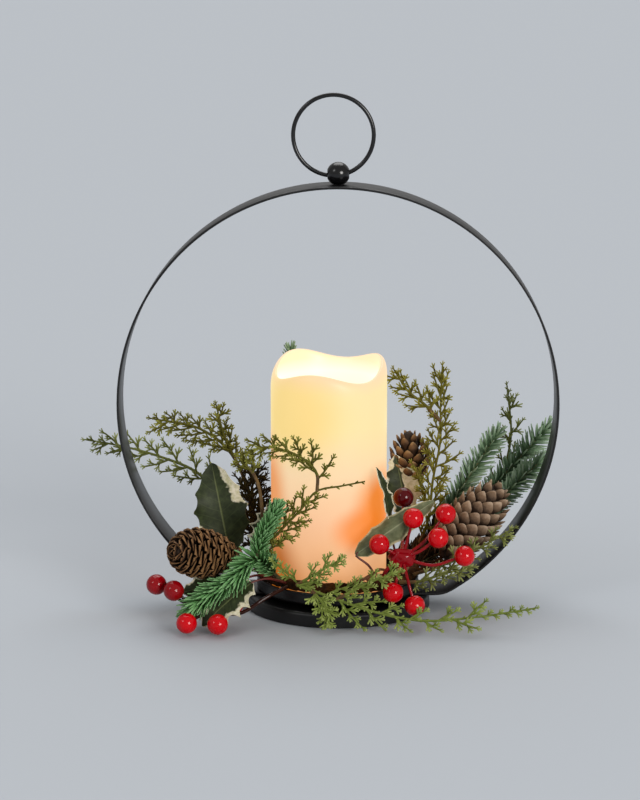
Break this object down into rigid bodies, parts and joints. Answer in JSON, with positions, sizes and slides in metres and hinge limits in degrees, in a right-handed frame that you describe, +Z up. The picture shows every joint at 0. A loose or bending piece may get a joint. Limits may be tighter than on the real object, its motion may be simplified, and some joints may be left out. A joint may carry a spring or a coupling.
{
  "type": "hoop candle lantern",
  "caption": "Upright hoop lantern of flat black strap with a hanging ring on top and a round base that carries a battery pillar candle inside an evergreen wreath.",
  "frame": {"origin": "on the floor, under the middle of the round foot", "axes": "+Z up, +X to the right as seen from the front, front towards -Y; the hoop lies in the XZ plane"},
  "size_m": [0.3193, 0.1531, 0.3408],
  "materials": {
    "frame_black": "satin",
    "pad_felt": "matte",
    "candle_wax": "satin",
    "housing_plastic": "satin",
    "switch_plastic": "matte",
    "cell_jacket": "satin",
    "contact_steel": "satin",
    "board_green": "matte",
    "lamp_lens": "gloss",
    "stem_tape": "matte",
    "cedar_green": "matte",
    "pine_green": "matte",
    "holly_green": "satin",
    "cone_brown": "matte",
    "berry_red": "gloss"
  },
  "bodies": {
    "frame": {"hoop_band": "frame_black", "finial_ball": "frame_black", "finial_screw": "frame_black", "base_foot": "frame_black", "base_pad": "pad_felt", "candle_tray": "frame_black", "tray_rivet_left": "frame_black", "tray_rivet_right": "frame_black", "wreath_ring": "stem_tape", "cedar_left_long": "cedar_green", "cedar_left_arch": "cedar_green", "cedar_left_dark": "cedar_green", "cedar_front_fan": "cedar_green", "cedar_front_low": "cedar_green", "cedar_right_tall": "cedar_green", "cedar_right_far": "cedar_green", "cedar_right_low": "cedar_green", "cedar_right_strap": "cedar_green", "pine_left": "pine_green", "pine_right_upper": "pine_green", "pine_right_outer": "pine_green", "pine_right_front": "pine_green", "pine_back": "pine_green", "holly_left_up": "holly_green", "holly_left_low": "holly_green", "holly_left_mid": "holly_green", "holly_left_behind": "holly_green", "holly_right_front": "holly_green", "holly_right_edge": "holly_green", "holly_back": "holly_green", "cone_left": "cone_brown", "cone_right": "cone_brown", "cone_back": "cone_brown", "berry_left_1": "berry_red", "berry_left_2": "berry_red", "berry_left_3": "berry_red", "berry_left_4": "berry_red", "berry_left_5": "berry_red", "berry_right_1": "berry_red", "berry_right_2": "berry_red", "berry_right_3": "berry_red", "berry_right_4": "berry_red", "berry_right_5": "berry_red", "berry_right_6": "berry_red", "berry_right_7": "berry_red", "berry_right_8": "berry_red", "berry_stem_left": "berry_red", "berry_stem_right": "berry_red"},
    "hanging_ring": {"hanging_ring": "frame_black"},
    "candle": {"candle_shell": "candle_wax", "battery_housing": "housing_plastic", "battery_1": "cell_jacket", "battery_2": "cell_jacket", "battery_3": "cell_jacket", "contact_plate": "contact_steel", "led_board": "board_green", "led_bulb": "lamp_lens"},
    "battery_cover": {"battery_cover": "housing_plastic", "cover_contact": "contact_steel"},
    "switch": {"switch_knob": "switch_plastic"}
  },
  "joints": [
    {"name": "ring_swing", "type": "hinge", "parent": "frame", "child": "hanging_ring", "pos_m": [0, 0, 0.28838], "axis": [1, 0, 0], "range_deg": [-113, 113]},
    {"name": "candle_lift", "type": "slide", "parent": "frame", "child": "candle", "axis": [0, 0, 1], "range_m": [0, 0.1]},
    {"name": "battery_cover_twist", "type": "hinge", "parent": "candle", "child": "battery_cover", "pos_m": [-0.006, 0, 0.0156], "axis": [0, 0, 1], "range_deg": [0, 30]},
    {"name": "switch_slide", "type": "slide", "parent": "candle", "child": "switch", "axis": [0, 1, 0], "range_m": [0, 0.004]}
  ]
}
